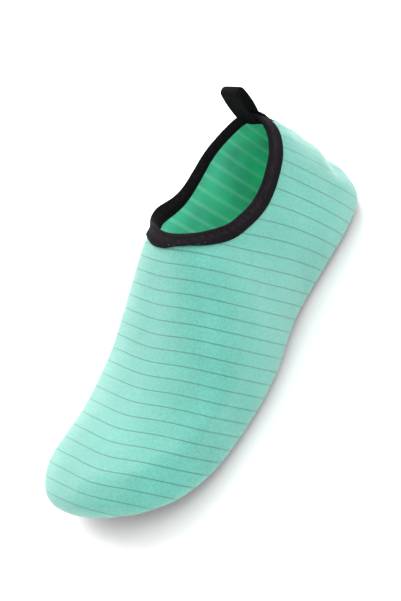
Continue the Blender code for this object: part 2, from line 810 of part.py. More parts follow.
def tape_path(wall, across):
    """Middle line of the tape at a distance from the seam: up the heel, over, and down inside."""
    half = TAPE_THICKNESS / 2
    clear = GAP + half
    over = BINDING_GAP + GAP + BINDING_THICKNESS + half
    inside = -(KNIT_THICKNESS + over)
    top = wall.full + 2
    low = across_wall(wall, 1, across, clear)
    path = [low + (across_wall(wall, 2, across, clear) - low) * 0.35]
    for row in range(2, top - 2):
        path.append(across_wall(wall, row, across, clear))
    under = path[-1]
    path.append(under + (across_wall(wall, top - 2, across, clear) - under) * 0.62)
    for row in (top - 2, top - 1, top):
        path.append(across_wall(wall, row, across, over))
    foot = path[-1]
    inner = [across_wall(wall, row, across, inside) for row in (top, top - 1, top - 2)]
    turn = LOOP_FOLD / 2
    rise = LOOP_HEIGHT - turn
    seam_foot = across_wall(wall, top, 0.0, over)
    head = Vector((seam_foot.x - LOOP_LEAN, across, seam_foot.z + rise))
    for share in (0.15, 0.40, 0.70, 1.0):
        bow = Vector((-0.8 * TAPE_THICKNESS * math.sin(math.pi * share), 0, 0))
        path.append(foot + (head - foot) * share + bow)
    for degrees in (35, 70, 110, 145, 180):
        angle = math.radians(degrees)
        path.append(head + Vector((turn * (1 - math.cos(angle)), 0, turn * math.sin(angle))))
    last = path[-1]
    for share in (0.30, 0.60, 0.85):
        bow = Vector((TAPE_THICKNESS * math.sin(math.pi * share), 0, 0))
        path.append(last + (inner[0] - last) * share + bow)
    path += inner
    path.append(inner[2] + (inner[2] - inner[1]).normalized() * (LOOP_INSIDE_REACH - BINDING_WIDTH))
    return np.array([(p.x, p.z) for p in path])


def build_pull_tape(wall):
    """Webbing up the heel seam that stands above the collar as a loop and returns inside."""
    first = abs(wall.at(1, 1, wall.full + 2, 0).y)
    first = min(max(first, TAPE_WIDTH * 0.2), TAPE_WIDTH * 0.4)
    offsets = [-TAPE_WIDTH / 2, -first, 0.0, first, TAPE_WIDTH / 2]
    middles = [tape_path(wall, s) for s in offsets]
    rows = len(middles[0])
    vertices = []
    for sign in (1, -1):
        for s, path in zip(offsets, middles):
            along = np.gradient(path, axis=0)
            along /= np.linalg.norm(along, axis=1)[:, None]
            side = np.stack([-along[:, 1], along[:, 0]], 1)
            spot = path + side * sign * TAPE_THICKNESS / 2
            vertices += [(x, float(s), z) for x, z in spot]
    lines = len(offsets)
    other = lines * rows
    faces = []
    for layer in (0, other):
        for i in range(lines - 1):
            for row in range(rows - 1):
                a = layer + i * rows + row
                faces.append((a, a + 1, a + rows + 1, a + rows))
    for row in range(rows - 1):
        for i in (0, lines - 1):
            a = i * rows + row
            faces.append((a, a + 1, other + a + 1, other + a))
    for i in range(lines - 1):
        for row in (0, rows - 1):
            a = i * rows + row
            faces.append((a, a + rows, other + a + rows, other + a))
    return new_object("pull_tape", vertices, faces)


def plain_material(thing, name, colour, roughness):
    """The part's own material."""
    material = bpy.data.materials.new(name)
    material.use_nodes = True
    shader = material.node_tree.nodes["Principled BSDF"]
    shader.inputs["Base Color"].default_value = (*colour, 1.0)
    shader.inputs["Roughness"].default_value = roughness
    thing.data.materials.clear()
    thing.data.materials.append(material)


def rounded_shading(thing, degrees):
    """Smooth shading that keeps the edges sharper than an angle."""
    body = bmesh.new()
    body.from_mesh(thing.data)
    for face in body.faces:
        face.smooth = True
    for edge in body.edges:
        if len(edge.link_faces) == 2:
            edge.smooth = edge.calc_face_angle() < math.radians(degrees)
    body.to_mesh(thing.data)
    body.free()


def centre_on_origin(things):
    """Move every mesh so that the middle of the whole box stands on the origin."""
    corners = np.array([v.co for thing in things for v in thing.data.vertices])
    low = corners.min(0)
    high = corners.max(0)
    shift = np.array([(low[0] + high[0]) / 2, (low[1] + high[1]) / 2, low[2]])
    for thing in things:
        for vertex in thing.data.vertices:
            vertex.co = (vertex.co[0] - shift[0], vertex.co[1] - shift[1], vertex.co[2] - shift[2])
        thing.data.update()
    print("box centre from the heel", [round(float(v), 5) for v in shift])


def main():
    for thing in list(bpy.data.objects):
        bpy.data.objects.remove(thing)
    wall = Wall(upper_lines())
    outsole = build_outsole()
    insole = build_insole()
    upper = build_upper(wall)
    binding = build_binding(wall)
    tape = build_pull_tape(wall)
    plain_material(outsole, "outsole_rubber", (0.022, 0.023, 0.027), 0.62)
    plain_material(insole, "insole_foam", (0.10, 0.11, 0.12), 0.90)
    plain_material(upper, "upper_knit", (0.31, 0.70, 0.58), 0.75)
    plain_material(binding, "binding_tape", (0.018, 0.016, 0.018), 0.60)
    plain_material(tape, "pull_webbing", (0.015, 0.015, 0.017), 0.70)
    things = [outsole, insole, upper, binding, tape]
    for thing in things:
        rounded_shading(thing, 40)
    centre_on_origin(things)


main()
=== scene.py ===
# %% [markdown]
# # A knitted water shoe
#
# The solids of the shoe come in as a fixed frame, in metres: toe toward +X, outer side toward +Y, floor at
# Z = 0. This lesson dresses them. The soft pieces are copied, rounded and given their soft folds, the rim
# and the heel webbing get their stitches, and every surface gets the finish of the real shoe.

# %% Load the frame
import math

import bmesh
import bpy
import numpy as np
from mathutils import Matrix, Vector, noise
from mathutils.bvhtree import BVHTree


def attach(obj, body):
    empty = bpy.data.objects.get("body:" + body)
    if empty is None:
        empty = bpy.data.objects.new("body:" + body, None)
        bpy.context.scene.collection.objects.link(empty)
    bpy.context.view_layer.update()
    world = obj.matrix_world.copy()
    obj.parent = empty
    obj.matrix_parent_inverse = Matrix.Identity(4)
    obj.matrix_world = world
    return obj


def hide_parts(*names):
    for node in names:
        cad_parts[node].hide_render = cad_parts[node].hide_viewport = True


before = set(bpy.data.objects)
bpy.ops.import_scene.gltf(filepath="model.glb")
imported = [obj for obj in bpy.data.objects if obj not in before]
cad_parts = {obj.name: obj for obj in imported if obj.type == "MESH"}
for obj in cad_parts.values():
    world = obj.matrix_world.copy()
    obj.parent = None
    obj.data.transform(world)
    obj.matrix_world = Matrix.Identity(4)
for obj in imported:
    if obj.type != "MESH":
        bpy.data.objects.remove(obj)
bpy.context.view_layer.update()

print("solids:", sorted(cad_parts))

# %% [markdown]
# ## Working on a copy
#
# A solid arrives as loose triangles. Each soft piece starts as a copy whose corners are merged and whose
# triangles are paired into four-sided faces, because a subdivision surface rounds those evenly. The
# subdivision is applied at once, so that folds can be pressed into the fine mesh.

# %% Copy a solid, pair its triangles and round it
MM = 0.001
MERGE_DISTANCE = 0.01 * MM
PAIR_ANGLE = math.radians(120)
PAIR_REGULARITY = 1.6


def pick(piece=None):
    """Nothing is selected, or one piece alone, which is then the active one."""
    if bpy.context.mode != "OBJECT":
        bpy.ops.object.mode_set(mode="OBJECT")
    bpy.ops.object.select_all(action="DESELECT")
    if piece is not None:
        piece.select_set(True)
        bpy.context.view_layer.objects.active = piece


def finished(piece, kind, **settings):
    """One modifier added with its settings and applied."""
    pick(piece)
    modifier = piece.modifiers.new(kind.lower(), kind)
    for key, value in settings.items():
        setattr(modifier, key, value)
    bpy.ops.object.modifier_apply(modifier=modifier.name)
    return piece


def copied(node, name):
    """A merged, four-sided copy of a solid."""
    piece = bpy.data.objects.new(name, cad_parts[node].data.copy())
    bpy.context.scene.collection.objects.link(piece)
    piece.data.name = name
    piece.data.materials.clear()
    pick(piece)
    bpy.ops.object.mode_set(mode="EDIT")
    bpy.ops.mesh.select_all(action="SELECT")
    bpy.ops.mesh.remove_doubles(threshold=MERGE_DISTANCE)
    bpy.ops.mesh.tris_convert_to_quads(face_threshold=PAIR_ANGLE, shape_threshold=PAIR_ANGLE,
                                       topology_influence=PAIR_REGULARITY)
    bpy.ops.object.mode_set(mode="OBJECT")
    sides = [len(face.vertices) for face in piece.data.polygons]
    print(name, "four-sided faces", sides.count(4), "three-sided faces", sides.count(3))
    return piece


def smooth(piece):
    """Rounded shading all over."""
    pick(piece)
    bpy.ops.object.shade_smooth()
    return piece


upper = smooth(finished(copied("upper", "knit_upper"), "SUBSURF", levels=2, render_levels=2))
rim = smooth(finished(copied("collar_binding", "rim_binding"), "SUBSURF", levels=2, render_levels=2))
webbing = smooth(finished(copied("pull_tape", "heel_webbing"), "SUBSURF", levels=2, render_levels=2))
for piece in (upper, rim, webbing):
    print(piece.name, len(piece.data.polygons), "faces")

# %% [markdown]
# ## Soft folds
#
# A thin knit that stands empty keeps the last's shape, but it is never as even as a hard shell. The toe box
# has a soft shoulder where its flat top turns down into the side, the heel is pressed in below the collar
# on its outer side, and the side of the foot carries a few shallow dips. Each fold is a line between two
# points on the shoe, in millimetres, with its half width and its depth: below zero it is a trough and above
# zero a ridge. One field moves every soft piece, so the rim and the webbing stay on the knit.

# %% Folds as troughs and ridges
SOFT_FOLDS = (
    # start, end, half width, depth
    ((36, 46, 31), (66, 43, 31), 6.0, 0.75),
    ((66, 43, 31), (84, 38, 32), 6.0, 1.05),
    ((84, 38, 32), (101, 25, 34), 6.0, 1.10),
    ((101, 25, 34), (110, 4, 35), 6.0, 0.85),
    ((110, 4, 35), (106, -26, 34), 6.0, 0.60),
    ((40, 50, 20), (74, 48, 20), 6.5, -0.60),
    ((74, 48, 20), (98, 36, 24), 6.5, -0.90),
    ((98, 36, 24), (113, 12, 27), 6.5, -0.70),
    ((-122, 4, 28), (-113, 23, 27), 9.5, -3.10),
    ((-113, 23, 27), (-96, 31, 34), 7.5, -0.90),
    ((-114, 10, 45), (-100, 24, 46), 5.0, -0.70),
    ((-106, 9, 64), (-98, 17, 61), 5.5, 1.50),
    ((-104, -20, 50), (-84, -28, 47), 5.0, -0.70),
    ((-38, -21, 74), (-20, -18, 80), 8.0, 1.60),
    ((-30, 38, 40), (-6, 42, 30), 7.0, -0.40),
    ((4, 41, 42), (26, 46, 26), 8.0, -0.35),
    ((-24, -34, 40), (4, -36, 30), 7.0, -0.45),
    ((30, -36, 38), (52, -44, 26), 8.0, -0.40),
)
SOFT_SHIFTS = (
    # middle, radius, shift: the rim's inner front corner drawn back, the inner side of the rim spread, and
    # the loop leaned to the inner side
    ((-11, -12, 84), 11.5, (-4.2, 0.6, 0.9)),
    ((-39, -23, 72), 12.0, (0.3, -4.1, 1.6)),
    ((-101, -2, 98), 13.0, (0.8, -1.5, 0.3)),
)
HEEL_END = -124.35
SHOE_AXIS = -1.91
SHOE_LENGTH = 250.0
TOE_SPRING = 17.0
SPRING_START, SPRING_LIMIT = 0.68, 1.1
FOOT_LINE_ENDS = (-80, 72)
FOOT_LINE_SIDE = 2.0
FOOT_LINE_HEIGHT = 26.0
WAVE_DEPTH, WAVE_SIZE = 0.30, 21.0
RIPPLE_DEPTH, RIPPLE_SIZE = 0.10, 8.0
STILL_HEIGHT = 5.0
STILL_FADE = 7.0


def eased(share):
    """A share between 0 and 1 that starts and ends softly."""
    return share * share * (3 - 2 * share)


def sole_rise(x):
    """Height of the sole's toe spring in millimetres at a length in the frame."""
    share = (x - HEEL_END) / SHOE_LENGTH
    return TOE_SPRING * np.clip((share - SPRING_START) / (1 - SPRING_START), 0, SPRING_LIMIT) ** 2


def outward(points):
    """Directions away from a line inside the foot."""
    axis = points.copy()
    axis[:, 0] = np.clip(points[:, 0], *FOOT_LINE_ENDS)
    axis[:, 1] = FOOT_LINE_SIDE
    axis[:, 2] = FOOT_LINE_HEIGHT
    way = points - axis
    return way / np.maximum(np.linalg.norm(way, axis=1), 1e-6)[:, None]


def distance_from(points, start, end):
    """Distance of each point from a line between two ends."""
    start = np.array(start, float)
    run = np.array(end, float) - start
    share = np.clip((points - start) @ run / (run @ run), 0, 1)
    return np.linalg.norm(points - start - share[:, None] * run, axis=1)


def bell(gap, width):
    """One at no distance, falling softly to nothing past the width."""
    return np.exp(-(gap / width) ** 2)


def folded(points):
    """Points in millimetres, moved by all the folds and by a faint unevenness of the cloth."""
    move = np.zeros(len(points))
    for start, end, half_width, depth in SOFT_FOLDS:
        move += depth * bell(distance_from(points, start, end), half_width)
    move += [WAVE_DEPTH * noise.noise(Vector(p) / WAVE_SIZE)
             + RIPPLE_DEPTH * noise.noise(Vector(p) / RIPPLE_SIZE) for p in points]
    height = points[:, 2] - sole_rise(points[:, 0])
    fade = eased(np.clip((height - STILL_HEIGHT) / STILL_FADE, 0, 1))
    moved = points + outward(points) * (move * fade)[:, None]
    for middle, radius, shift in SOFT_SHIFTS:
        share = bell(np.linalg.norm(points - np.array(middle, float), axis=1), radius)
        moved += share[:, None] * np.array(shift)
    return moved


def places(piece):
    """Corner points of a piece in millimetres."""
    flat = np.empty(len(piece.data.vertices) * 3)
    piece.data.vertices.foreach_get("co", flat)
    return flat.reshape(-1, 3) / MM


def put(piece, points):
    """Corner points back into the piece."""
    piece.data.vertices.foreach_set("co", (points * MM).ravel())
    piece.data.update()


for piece in (upper, rim, webbing):
    before = places(piece)
    after = folded(before)
    put(piece, after)
    print(piece.name, "moves at most", round(float(np.linalg.norm(after - before, axis=1).max()), 2), "mm")

# %% [markdown]
# ## Webbing pressed onto the heel
#
# The sewn webbing lies almost flush with the knit. Below the rim, its corners keep under half of their
# distance from the knit.

# %% Press the webbing down
WEBBING_PRESS = 0.42
PRESS_TOP = 74.0
PRESS_FADE = 6.0
PRESS_REACH = 4.0 * MM
PRESS_PLAY = 0.5


def tree_of(piece):
    """Search tree of a piece, in metres."""
    body = bmesh.new()
    body.from_mesh(piece.data)
    tree = BVHTree.FromBMesh(body)
    body.free()
    return tree


knit_tree = tree_of(upper)
webbing_spots = places(webbing)
pressed = 0
for i, spot in enumerate(webbing_spots):
    found, _, _, gap = knit_tree.find_nearest(Vector(spot * MM))
    near = np.array(found) / MM
    share = min(max((PRESS_TOP - spot[2]) / PRESS_FADE, 0.0), 1.0)
    if share > 0 and gap < PRESS_REACH and spot[0] < near[0] + PRESS_PLAY:
        webbing_spots[i] = near + (spot - near) * (1 - share * (1 - WEBBING_PRESS))
        pressed += 1
put(webbing, webbing_spots)
print("corners pressed onto the knit:", pressed)

# %% [markdown]
# ## Stripes that follow the knit
#
# The thin darker lines are courses of the knit, 8.4 mm apart. They lean toward the toe as they rise, less
# so at the heel, they wrap round the heel at an even distance, and on top of the foot the knit is pulled
# toward the toe. Each corner of the mesh keeps the number of its course as an attribute, and the materials
# read it, so the lines run on from outside to inside and the fine stitches sit square to them.

# %% Number the courses
COURSE_PITCH = 8.4
COURSE_START = 7.8
LEAN_AT_HEEL = 0.43
LEAN_AT_TOE = 0.62
LEAN_FROM, LEAN_OVER = 45.0, 60.0
LEAN_BASE = 10.0
LEAN_ACROSS = 0.10
TURN_LENGTH, TURN_GAIN = 34.0, 14.0
TURN_FROM, TURN_OVER = 20.0, 45.0
KNIT_PULLS = (
    # start, end, half width, pull toward the toe
    ((0, 3, 76), (34, 4, 60), 16.0, 2.0),
    ((34, 4, 60), (107, 3, 37), 19.0, 2.9),
)


def pulled(points):
    """How far the knit is pulled toward the toe, in millimetres."""
    pull = np.zeros(len(points))
    for start, end, half_width, most in KNIT_PULLS:
        pull = np.maximum(pull, most * bell(distance_from(points, start, end), half_width))
    return pull


def round_heel(length, width, height):
    """Length from the heel, measured round the heel where it turns."""
    turn_at = TURN_LENGTH + TURN_GAIN * np.clip((height - TURN_FROM) / TURN_OVER, 0, 1)
    behind = np.maximum(turn_at - length, 0)
    radius = np.hypot(behind, width)
    return np.where(behind > 0, turn_at - radius * np.arctan2(behind, np.abs(width)), length)


def keep(piece, name, values):
    """A number kept at every corner of a piece."""
    layer = piece.data.attributes.new(name, "FLOAT", "POINT")
    layer.data.foreach_set("value", np.asarray(values, float))


spots = places(upper)
ways = np.array([corner.normal for corner in upper.data.vertices])
heel_x = spots[:, 0] - HEEL_END
heel_y = spots[:, 1] - SHOE_AXIS
share = np.clip((heel_x - LEAN_FROM) / LEAN_OVER, 0, 1)
lean = LEAN_AT_HEEL + (LEAN_AT_TOE - LEAN_AT_HEEL) * eased(share)
lean = np.where((ways * outward(spots)).sum(1) < 0, LEAN_AT_HEEL, lean)
leaned = lean * (spots[:, 2] - LEAN_BASE) + LEAN_ACROSS * heel_y
course_number = round_heel(heel_x, heel_y, spots[:, 2]) - pulled(spots) - leaned - COURSE_START
keep(upper, "course", course_number / COURSE_PITCH)
print("courses", round(float(course_number.max() / COURSE_PITCH), 1))

# %% [markdown]
# ## Outside and inside
#
# The knit is one wall with two faces. The inner one is a deeper green, so its faces get a second material
# slot when the shoe is dressed. A face belongs to the inside where it looks toward the line in the foot.

# %% Sort the faces of the wall
middles = np.array([face.center for face in upper.data.polygons]) / MM
normals = np.array([face.normal for face in upper.data.polygons])
looks_in = (normals * outward(middles)).sum(1) < 0
print("inner faces", int(looks_in.sum()), "outer faces", int((~looks_in).sum()))

# %% [markdown]
# ## Along the rim
#
# The rim is a folded tape. Its weave runs along it, so each corner keeps how far it lies round the collar
# and how far below the crest. The crest is found as the highest corners seen from the collar's middle.

# %% Measure round the collar
COLLAR_MIDDLE = np.array((-55.0, 0.0))
CREST_STEPS = 120
CREST_BAND = 0.3


def turned(points):
    """Angle of points round the collar's middle."""
    return np.arctan2(points[:, 1] - COLLAR_MIDDLE[1], points[:, 0] - COLLAR_MIDDLE[0])


rim_spots = places(rim)
rim_angle = turned(rim_spots)
crest = []
for step in range(CREST_STEPS):
    angle = -math.pi + (step + 0.5) * math.tau / CREST_STEPS
    near = np.abs(rim_angle - angle) < math.tau / CREST_STEPS
    group = rim_spots[near]
    crest.append(group[group[:, 2] > group[:, 2].max() - CREST_BAND].mean(0))
crest = np.array(crest)
for _ in range(2):
    crest = (np.roll(crest, 1, 0) + 2 * crest + np.roll(crest, -1, 0)) / 4
step_length = np.linalg.norm(np.roll(crest, -1, 0) - crest, axis=1)
crest_run = np.concatenate([[0], np.cumsum(step_length)[:-1]])
RIM_LENGTH = float(step_length.sum())


def round_collar(points):
    """Distance along the crest and from it, in millimetres."""
    run = np.empty(len(points))
    below = np.empty(len(points))
    for i, point in enumerate(points):
        gap = np.linalg.norm(crest - point, axis=1)
        k = int(gap.argmin())
        way = crest[(k + 1) % CREST_STEPS] - crest[k - 1]
        way /= np.linalg.norm(way)
        shift = float((point - crest[k]) @ way)
        run[i] = crest_run[k] + shift
        below[i] = np.linalg.norm(point - crest[k] - shift * way)
    return run, below


print("tape reaches down", round(float(round_collar(rim_spots)[1].max()), 1), "mm before it is spread")

# %% [markdown]
# The tape of the real rim spreads a little further down both faces than its solid, most at the front, and
# inside only toward the heel. Each corner below the crest slides down along the knit and keeps its distance
# from it. At the inner front corner the tape is narrower and lies flatter.

# %% Spread the rim down both faces
RIM_SPREAD = 1.5
SPREAD_FROM, SPREAD_OVER = 1.4, 3.2
INNER_SPREAD_FROM, INNER_SPREAD_OVER = -24.0, 16.0
RIM_CORNER = np.array((-16.0, -16.5, 80.0))
CORNER_REACH = 8.5
CORNER_DRAW = 2.3
CORNER_FLAT = 0.4
DRAW_FADE, FLAT_FADE = 3.0, 4.0
LEAST_REACH, LEAST_SLIDE = 0.1, 0.05
OWN_WEIGHT = 0.4
RIM_FRONT = np.array((-9.0, 12.0, 74.0))
FRONT_REACH = 17.0
FRONT_SPREAD = 0.7

rim_edges = np.array([edge.vertices for edge in rim.data.edges])
ties = np.bincount(rim_edges.ravel(), minlength=len(rim_spots))[:, None]


def evened(moves, rounds):
    """Moves of the rim's corners, each averaged with its neighbours a few times."""
    for _ in range(rounds):
        total = np.zeros_like(moves)
        np.add.at(total, rim_edges[:, 0], moves[rim_edges[:, 1]])
        np.add.at(total, rim_edges[:, 1], moves[rim_edges[:, 0]])
        moves = OWN_WEIGHT * moves + (1 - OWN_WEIGHT) * total / ties
    return moves


slides = np.zeros_like(rim_spots)
gaps = np.zeros(len(rim_spots))
for i, spot in enumerate(rim_spots):
    k = int(np.linalg.norm(crest - spot, axis=1).argmin())
    along = crest[(k + 1) % CREST_STEPS] - crest[k - 1]
    along /= np.linalg.norm(along)
    down = spot - crest[k]
    down -= (down @ along) * along
    reach = np.linalg.norm(down)
    share = min(max((reach - SPREAD_FROM) / SPREAD_OVER, 0.0), 1.0)
    near, normal, _, gap = knit_tree.find_nearest(Vector(spot * MM))
    gaps[i] = math.copysign(gap / MM, (spot * MM - np.array(near)) @ np.array(normal))
    corner = bell(np.linalg.norm(spot - RIM_CORNER), CORNER_REACH)
    if outward(np.array(near)[None] / MM)[0] @ np.array(normal) < 0:
        share *= min(max((INNER_SPREAD_FROM - spot[0]) / INNER_SPREAD_OVER, 0.0), 1.0)
        corner = 0.0
    gaps[i] *= 1 - CORNER_FLAT * corner * min(reach / FLAT_FADE, 1.0)
    front = bell(np.linalg.norm(spot - RIM_FRONT), FRONT_REACH)
    spread = (RIM_SPREAD + FRONT_SPREAD * front) * share - CORNER_DRAW * corner * min(reach / DRAW_FADE, 1.0)
    slides[i] = down / max(reach, LEAST_REACH) * spread
slides = evened(slides, 10)
for i, spot in enumerate(rim_spots):
    if np.linalg.norm(slides[i]) > LEAST_SLIDE:
        landed, normal, _, _ = knit_tree.find_nearest(Vector((spot + slides[i]) * MM))
        slides[i] = np.array(landed) / MM + np.array(normal) * gaps[i] - spot
rim_spots = rim_spots + evened(slides, 2)
put(rim, rim_spots)
rim_run, rim_below = round_collar(rim_spots)
keep(rim, "run", rim_run)
keep(rim, "below", rim_below)
print("rim length", round(RIM_LENGTH, 1), "mm, tape reaches down", round(float(rim_below.max()), 1), "mm")

# %% [markdown]
# ## Stitches
#
# One stitch is a short thread, thick in its middle and pulled in at both ends. It is modelled once, from a
# ball that is stretched in edit mode, and each copy has its own corners. A row of them holds the rim down
# on each face, two rows run up the heel webbing, and a dense bar holds the foot of the loop.

# %% One stitch and rows of it
STITCH_LENGTH = 2.3
STITCH_WIDTH = 0.42
STITCH_HEIGHT = 0.8 * STITCH_WIDTH
STITCH_DIP = 0.10
STITCH_LIFT = 0.05

pick()
bpy.ops.mesh.primitive_uv_sphere_add(segments=8, ring_count=6, radius=0.5)
stitch = bpy.context.object
bpy.ops.object.mode_set(mode="EDIT")
bpy.ops.mesh.select_all(action="SELECT")
bpy.ops.transform.rotate(value=math.radians(90), orient_axis="Y", center_override=(0, 0, 0))
bpy.ops.transform.resize(value=(STITCH_LENGTH * MM, STITCH_WIDTH * MM, STITCH_HEIGHT * MM),
                         center_override=(0, 0, 0))
bpy.ops.object.mode_set(mode="OBJECT")
for corner in stitch.data.vertices:
    corner.co.z -= STITCH_DIP * MM * (2 * corner.co.x / (STITCH_LENGTH * MM)) ** 2
smooth(stitch)
print("one stitch has", len(stitch.data.polygons), "faces")


def row_of_stitches(name, frames):
    """Copies of the stitch joined to one piece; a frame is a centre, along, up and a length share."""
    pick()
    for centre, along, up, share in frames:
        along = np.asarray(along) / np.linalg.norm(along)
        side = np.cross(up, along)
        side /= np.linalg.norm(side)
        turn = Matrix([Vector(along * share), Vector(side), Vector(np.cross(along, side))]).transposed()
        twin = bpy.data.objects.new(name, stitch.data.copy())
        twin.matrix_world = Matrix.Translation(Vector(centre * MM)) @ turn.to_4x4()
        bpy.context.scene.collection.objects.link(twin)
        twin.select_set(True)
        bpy.context.view_layer.objects.active = twin
    bpy.ops.object.join()
    row = bpy.context.object
    bpy.ops.object.transform_apply(location=True, rotation=True, scale=True)
    row.name = name
    row.data.name = name
    print(name, len(frames), "stitches,", len(row.data.polygons), "faces")
    return row


# %% Two rows on the rim
RIM_ROW_BELOW = 5.3
RIM_STITCH_PITCH = 3.1
ROW_BAND = 1.6
ROW_WEIGHT = 1.5
ROW_NEAREST = 6

rim_normals = np.array([v.normal for v in rim.data.vertices])
rim_looks_out = (rim_normals[:, :2] * (rim_spots[:, :2] - COLLAR_MIDDLE)).sum(1) > 0
rim_tree = tree_of(rim)


def rim_row(outside):
    """Stitch places on one face of the rim."""
    chosen = np.nonzero((rim_looks_out == outside) & (np.abs(rim_below - RIM_ROW_BELOW) < ROW_BAND))[0]
    count = int(RIM_LENGTH / RIM_STITCH_PITCH)
    line = []
    for k in range(count):
        target = k * RIM_LENGTH / count
        gap = np.abs(rim_run[chosen] - target)
        gap = np.minimum(gap, RIM_LENGTH - gap) + ROW_WEIGHT * np.abs(rim_below[chosen] - RIM_ROW_BELOW)
        best = chosen[np.argsort(gap)[:ROW_NEAREST]]
        line.append(rim_spots[best].mean(0))
    line = np.array(line)
    frames = []
    for k in range(count):
        found, normal, _, _ = rim_tree.find_nearest(Vector(line[k] * MM))
        normal = np.array(normal)
        along = line[(k + 1) % count] - line[k - 1]
        frames.append((np.array(found) / MM + normal * STITCH_LIFT, along, normal, 1.0))
    return frames


rim_stitches = row_of_stitches("rim_stitches", rim_row(True) + rim_row(False))

# %% Rows up the heel webbing and a bar at the loop
webbing_tree = tree_of(webbing)
WEBBING_ROW_SIDE = 4.5
WEBBING_ROW_HEIGHTS = (9.0, 73.0)
WEBBING_STITCH_PITCH = 2.9
ROW_STEP_UP, BAR_STEP_UP = 1.2, 1.0
BEHIND_THE_SHOE = -0.2
BAR_HEIGHTS = (75.4, 77.0)
BAR_SIDE = 4.4
BAR_PITCH = 0.62
BAR_LIFT = 0.04
BAR_STITCH_SHARE = 0.62


def from_behind(y, z):
    """Place and direction on the back of the webbing, at a width and a height in millimetres."""
    start = Vector((BEHIND_THE_SHOE, y * MM, z * MM))
    found, normal, _, _ = webbing_tree.ray_cast(start, Vector((1, 0, 0)))
    if found is None:
        return None
    return np.array(found) / MM, np.array(normal)


def stitch_up(y, z, step, lift, share):
    """A stitch on the webbing that points to the place above it, or none past the webbing's edge."""
    here = from_behind(y, z)
    above = from_behind(y, z + step)
    if here and above:
        return [(here[0] + here[1] * lift, above[0] - here[0], here[1], share)]
    return []


webbing_frames = []
for side in (-1, 1):
    for z in np.arange(*WEBBING_ROW_HEIGHTS, WEBBING_STITCH_PITCH):
        y = SHOE_AXIS + side * WEBBING_ROW_SIDE
        webbing_frames += stitch_up(y, z, ROW_STEP_UP, STITCH_LIFT, 1.0)
for z in BAR_HEIGHTS:
    for y in np.arange(-BAR_SIDE, BAR_SIDE + 0.1, BAR_PITCH):
        webbing_frames += stitch_up(SHOE_AXIS + y, z, BAR_STEP_UP, BAR_LIFT, BAR_STITCH_SHARE)
webbing_stitches = row_of_stitches("webbing_stitches", webbing_frames)
bpy.data.objects.remove(stitch)

# %% [markdown]
# ## The rubber outsole
#
# Moulded rubber has no razor edges: every tooth and ring leaves its mould with a small radius that catches
# a thin line of light. The copy keeps the solid's form, its flat faces are joined and its sharp edges get
# that small radius.

# %% Round the edges of the tread
TREAD_RADIUS = 0.22
FLAT_ANGLE = math.radians(1.5)
SHARP_ANGLE = math.radians(38)
SHADE_ANGLE = math.radians(32)

outsole = bpy.data.objects.new("rubber_outsole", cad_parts["outsole"].data.copy())
bpy.context.scene.collection.objects.link(outsole)
outsole.data.materials.clear()
pick(outsole)
bpy.ops.object.mode_set(mode="EDIT")
bpy.ops.mesh.select_all(action="SELECT")
bpy.ops.mesh.remove_doubles(threshold=MERGE_DISTANCE)
bpy.ops.mesh.dissolve_limited(angle_limit=FLAT_ANGLE)
bpy.ops.object.mode_set(mode="OBJECT")
finished(outsole, "BEVEL", width=TREAD_RADIUS * MM, segments=2, limit_method="ANGLE",
         angle_limit=SHARP_ANGLE, use_clamp_overlap=True, harden_normals=False)
finished(outsole, "TRIANGULATE")
pick(outsole)
bpy.ops.object.shade_smooth_by_angle(angle=SHADE_ANGLE)
print("outsole", len(outsole.data.polygons), "faces")

# %% [markdown]
# ## Fine patterns as node groups
#
# The knit, its stripes, the woven tape and a soft unevenness each come back in more than one material. Each
# is built once as a group that puts out a height, a line or a shade between 0 and 1. The knit is made of
# slanted legs, two to a stitch, that meet in a V; it is read by height on the sides and by width on the
# top, and the two are mixed by the direction of the surface.

# %% Helpers for node groups


class Board:
    """A node tree with short ways to add sums and links."""

    def __init__(self, tree):
        self.tree = tree

    def node(self, kind, **settings):
        """A new node with its settings."""
        made = self.tree.nodes.new(kind)
        for key, value in settings.items():
            setattr(made, key, value)
        return made

    def feed(self, socket, value):
        """A link, or a plain value."""
        if isinstance(value, bpy.types.NodeSocket):
            self.tree.links.new(value, socket)
        else:
            socket.default_value = value

    def sum(self, operation, *values, clamp=False):
        """The result of one operation on numbers."""
        made = self.node("ShaderNodeMath", operation=operation, use_clamp=clamp)
        for socket, value in zip(made.inputs, values):
            self.feed(socket, value)
        return made.outputs[0]

    def blend(self, share, first, second):
        """Colour mixed between two."""
        made = self.node("ShaderNodeMix", data_type="RGBA")
        for name, value in (("Factor_Float", share), ("A_Color", first), ("B_Color", second)):
            self.feed(next(s for s in made.inputs if s.identifier == name), value)
        return next(s for s in made.outputs if s.identifier == "Result_Color")

    def band(self, value, low, high, start=0.0, end=1.0):
        """A value read softly from one range into another."""
        made = self.node("ShaderNodeMapRange", interpolation_type="SMOOTHSTEP")
        for name, number in (("Value", value), ("From Min", low), ("From Max", high), ("To Min", start),
                             ("To Max", end)):
            self.feed(made.inputs[name], number)
        return made.outputs["Result"]


def group_named(name, inputs, outputs):
    """An empty node group with named number sockets; the one named Place is a position."""
    tree = bpy.data.node_groups.new(name, "ShaderNodeTree")
    for way, names in (("INPUT", inputs), ("OUTPUT", outputs)):
        for label in names:
            kind = "NodeSocketVector" if label == "Place" else "NodeSocketFloat"
            tree.interface.new_socket(name=label, in_out=way, socket_type=kind)
    board = Board(tree)
    start = board.node("NodeGroupInput")
    end = board.node("NodeGroupOutput")
    return board, start.outputs, end.inputs


def placed(board, group, **values):
    """A group set into a material with its values."""
    made = board.node("ShaderNodeGroup")
    made.node_tree = group
    for key, value in values.items():
        board.feed(made.inputs[key.replace("_", " ").capitalize()], value)
    return made.outputs


